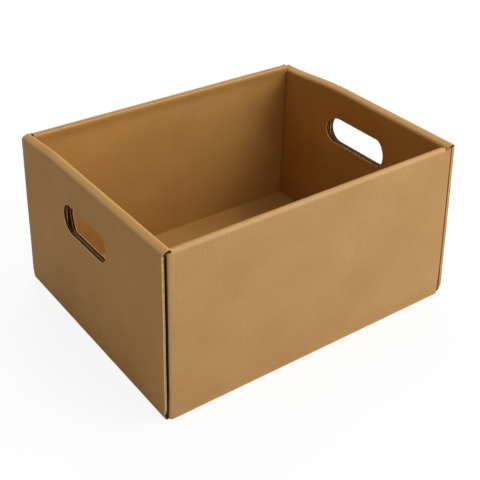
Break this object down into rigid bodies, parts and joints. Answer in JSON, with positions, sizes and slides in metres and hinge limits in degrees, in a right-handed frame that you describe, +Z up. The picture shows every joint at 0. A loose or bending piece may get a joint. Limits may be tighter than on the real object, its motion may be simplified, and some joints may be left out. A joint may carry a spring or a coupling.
{
  "type": "cardboard tray box",
  "caption": "Open rectangular tray box folded from corrugated kraft board, with double rolled walls and a rounded hand hole through each end.",
  "frame": {"origin": "middle of the underside, on the surface that the tray stands on", "axes": "+X along the length, from one end wall to the other; +Y across the width; +Z up"},
  "size_m": [0.39, 0.312, 0.2],
  "materials": {
    "kraft_board": "uncoated brown kraft liner on corrugated board, matt"
  },
  "bodies": {
    "root": {"folded_tray": "kraft_board"}
  },
  "joints": []
}
